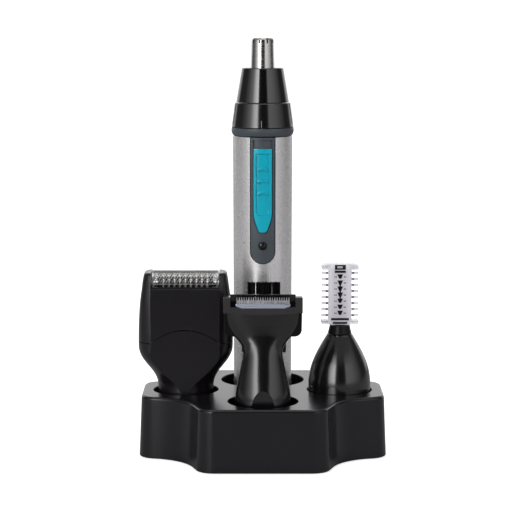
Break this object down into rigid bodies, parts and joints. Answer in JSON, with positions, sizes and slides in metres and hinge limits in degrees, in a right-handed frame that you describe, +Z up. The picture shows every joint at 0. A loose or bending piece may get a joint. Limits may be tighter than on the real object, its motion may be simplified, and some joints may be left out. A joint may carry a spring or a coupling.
{
  "type": "beard trimmer",
  "caption": "Powered grooming handle with nose, foil shaver, precision and eyebrow heads and a cleaning brush, standing in a moulded stand.",
  "frame": {"origin": "on the ground under the middle of the stand", "axes": "+Z up; the front of the stand faces -Y, so the foil shaver head is at -X, the eyebrow head at +X and the handle at +Y"},
  "size_m": [0.1062, 0.0908, 0.1776],
  "materials": {
    "black_plastic": "satin moulded black",
    "gloss_black_plastic": "polished black",
    "silver_sleeve": "satin silver with a fine pearl grain",
    "slate_plastic": "satin slate grey",
    "teal_plastic": "satin gloss teal",
    "polished_steel": "polished",
    "white_nylon": "natural moulded",
    "clear_plastic": "clear moulded",
    "board_green": "solder mask",
    "cell_wrap": "shrink wrap",
    "foot_rubber": "matt",
    "bristle_nylon": "fibre"
  },
  "bodies": {
    "stand": {"stand_shell": "black_plastic", "stand_base_plate": "black_plastic", "stand_foot_1": "foot_rubber", "stand_foot_2": "foot_rubber", "stand_foot_3": "foot_rubber", "stand_foot_4": "foot_rubber"},
    "handle": {"handle_sleeve": "silver_sleeve", "handle_bottom_cap": "black_plastic", "charging_socket": "polished_steel", "handle_chassis": "black_plastic", "front_panel": "slate_plastic", "indicator_lens": "clear_plastic", "charge_led": "clear_plastic", "circuit_board": "board_green", "slide_switch": "polished_steel", "battery_cell": "cell_wrap", "battery_holder_lower": "white_nylon", "battery_holder_upper": "white_nylon", "battery_spring": "polished_steel", "motor_can": "polished_steel", "motor_holder": "white_nylon", "collar_ring": "slate_plastic"},
    "switch": {"switch_slider": "teal_plastic", "switch_lever": "black_plastic"},
    "motor_drive": {"motor_shaft": "polished_steel", "drive_coupler": "white_nylon"},
    "nose_lock": {"nose_lock_ring": "white_nylon"},
    "nose_head": {"nose_base_ring": "black_plastic", "nose_cone": "gloss_black_plastic", "nose_guard_tube": "polished_steel", "nose_bush": "white_nylon"},
    "nose_cutter": {"nose_cutter_blade": "polished_steel", "nose_driven_dog": "white_nylon"},
    "shaver_head": {"shaver_base_ring": "black_plastic", "shaver_lower_shell": "black_plastic", "shaver_upper_shell": "black_plastic", "foil_frame": "black_plastic", "shaver_foil": "polished_steel"},
    "shaver_blades": {"shaver_blade_block": "polished_steel", "shaver_drive_arm": "white_nylon"},
    "shaver_crank_shaft": {"shaver_crank": "polished_steel"},
    "precision_head": {"precision_base_ring": "black_plastic", "precision_body": "gloss_black_plastic", "precision_blade_holder": "gloss_black_plastic", "precision_fixed_blade": "polished_steel", "precision_blade_clamp": "polished_steel"},
    "precision_blades": {"precision_moving_blade": "polished_steel", "precision_drive_arm": "white_nylon"},
    "precision_crank_shaft": {"precision_crank": "polished_steel"},
    "eyebrow_head": {"eyebrow_base_ring": "black_plastic", "eyebrow_body": "gloss_black_plastic", "eyebrow_neck": "black_plastic", "eyebrow_fixed_blade": "polished_steel"},
    "eyebrow_blades": {"eyebrow_moving_blade": "polished_steel", "eyebrow_drive_arm": "white_nylon"},
    "eyebrow_crank_shaft": {"eyebrow_crank": "polished_steel"},
    "comb_guard": {"comb_guard": "clear_plastic"},
    "brush": {"brush_handle": "black_plastic", "brush_bristles": "bristle_nylon"}
  },
  "joints": [
    {"name": "handle_lift", "type": "slide", "parent": "stand", "child": "handle", "axis": [0, 0, 1], "range_m": [0, 0.03]},
    {"name": "shaver_head_lift", "type": "slide", "parent": "stand", "child": "shaver_head", "axis": [0, 0, 1], "range_m": [0, 0.03]},
    {"name": "precision_head_lift", "type": "slide", "parent": "stand", "child": "precision_head", "axis": [0, 0, 1], "range_m": [0, 0.03]},
    {"name": "eyebrow_head_lift", "type": "slide", "parent": "stand", "child": "eyebrow_head", "axis": [0, 0, 1], "range_m": [0, 0.03]},
    {"name": "brush_lift", "type": "slide", "parent": "stand", "child": "brush", "axis": [0, 0, 1], "range_m": [0, 0.03]},
    {"name": "switch_slide", "type": "slide", "parent": "handle", "child": "switch", "axis": [0, 0, 1], "range_m": [0, 0.0035]},
    {"name": "motor_spin", "type": "hinge", "parent": "handle", "child": "motor_drive", "pos_m": [0, 0.0224, 0], "axis": [0, 0, 1], "continuous": true},
    {"name": "nose_lock_twist", "type": "hinge", "parent": "handle", "child": "nose_lock", "pos_m": [0, 0.0224, 0.139], "axis": [0, 0, 1], "range_deg": [0, 25]},
    {"name": "nose_head_lift", "type": "slide", "parent": "nose_lock", "child": "nose_head", "axis": [0, 0, 1], "range_m": [0, 0.03]},
    {"name": "nose_cutter_spin", "type": "hinge", "parent": "nose_head", "child": "nose_cutter", "pos_m": [0, 0.0224, 0], "axis": [0, 0, 1], "continuous": true},
    {"name": "shaver_blade_slide", "type": "slide", "parent": "shaver_head", "child": "shaver_blades", "axis": [1, 0, 0], "range_m": [-0.001, 0.001]},
    {"name": "shaver_crank_spin", "type": "hinge", "parent": "shaver_head", "child": "shaver_crank_shaft", "pos_m": [-0.0332, 0, 0], "axis": [0, 0, 1], "continuous": true},
    {"name": "precision_blade_slide", "type": "slide", "parent": "precision_head", "child": "precision_blades", "axis": [1, 0, 0], "range_m": [-0.001, 0.001]},
    {"name": "precision_crank_spin", "type": "hinge", "parent": "precision_head", "child": "precision_crank_shaft", "pos_m": [0, -0.0256, 0], "axis": [0, 0, 1], "continuous": true},
    {"name": "eyebrow_blade_slide", "type": "slide", "parent": "eyebrow_head", "child": "eyebrow_blades", "axis": [0, 0, 1], "range_m": [-0.0005, 0.0005], "stiffness_N_per_m": 200},
    {"name": "eyebrow_crank_spin", "type": "hinge", "parent": "eyebrow_head", "child": "eyebrow_crank_shaft", "pos_m": [0.0332, 0, 0], "axis": [0, 0, 1], "continuous": true},
    {"name": "comb_guard_lift", "type": "slide", "parent": "eyebrow_head", "child": "comb_guard", "axis": [0, 0, 1], "range_m": [0, 0.03]}
  ],
  "couplings": [
    {"joint": "nose_cutter_spin", "follows": "motor_spin", "ratio": 1}
  ]
}
